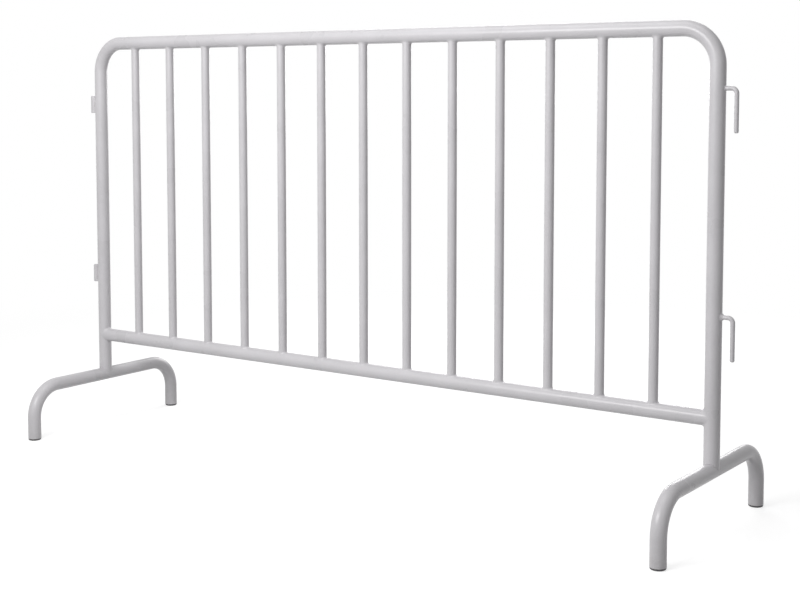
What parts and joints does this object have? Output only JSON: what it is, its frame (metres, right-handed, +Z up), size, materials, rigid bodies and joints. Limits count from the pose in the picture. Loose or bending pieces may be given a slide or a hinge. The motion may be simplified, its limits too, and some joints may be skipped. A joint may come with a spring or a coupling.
{
  "type": "traffic barricade",
  "caption": "Free-standing tubular steel traffic barricade: bent hoop frame with a bottom rail and upright pickets, lift-off arched feet, and hooks and sleeves that link a row.",
  "frame": {"origin": "on the ground, under the middle of the whole barricade with its hooks and sleeves", "axes": "+X along the barricade from the sleeve end to the hook end, +Y from front to back, +Z up"},
  "size_m": [1.9296, 0.563, 1.1],
  "materials": {
    "powder_coated_steel": "satin light silver-grey powder coat on steel",
    "foot_plug_plastic": "matte dark moulded plastic"
  },
  "bodies": {
    "left_foot": {"left_foot_tube": "powder_coated_steel", "left_foot_spigot": "powder_coated_steel", "left_front_foot_plug": "foot_plug_plastic", "left_rear_foot_plug": "foot_plug_plastic"},
    "frame": {"frame_tube": "powder_coated_steel", "bottom_rail": "powder_coated_steel", "picket_01": "powder_coated_steel", "picket_02": "powder_coated_steel", "picket_03": "powder_coated_steel", "picket_04": "powder_coated_steel", "picket_05": "powder_coated_steel", "picket_06": "powder_coated_steel", "picket_07": "powder_coated_steel", "picket_08": "powder_coated_steel", "picket_09": "powder_coated_steel", "picket_10": "powder_coated_steel", "picket_11": "powder_coated_steel", "picket_12": "powder_coated_steel", "picket_13": "powder_coated_steel", "upper_hook": "powder_coated_steel", "upper_sleeve": "powder_coated_steel", "lower_hook": "powder_coated_steel", "lower_sleeve": "powder_coated_steel"},
    "right_foot": {"right_foot_tube": "powder_coated_steel", "right_foot_spigot": "powder_coated_steel", "right_front_foot_plug": "foot_plug_plastic", "right_rear_foot_plug": "foot_plug_plastic"}
  },
  "joints": [
    {"name": "frame_lift", "type": "slide", "parent": "left_foot", "child": "frame", "axis": [0, 0, 1], "range_m": [0, 0.12]},
    {"name": "right_foot_release", "type": "slide", "parent": "frame", "child": "right_foot", "axis": [0, 0, -1], "range_m": [0, 0.12]}
  ],
  "couplings": [
    {"joint": "right_foot_release", "follows": "frame_lift", "ratio": 1}
  ]
}
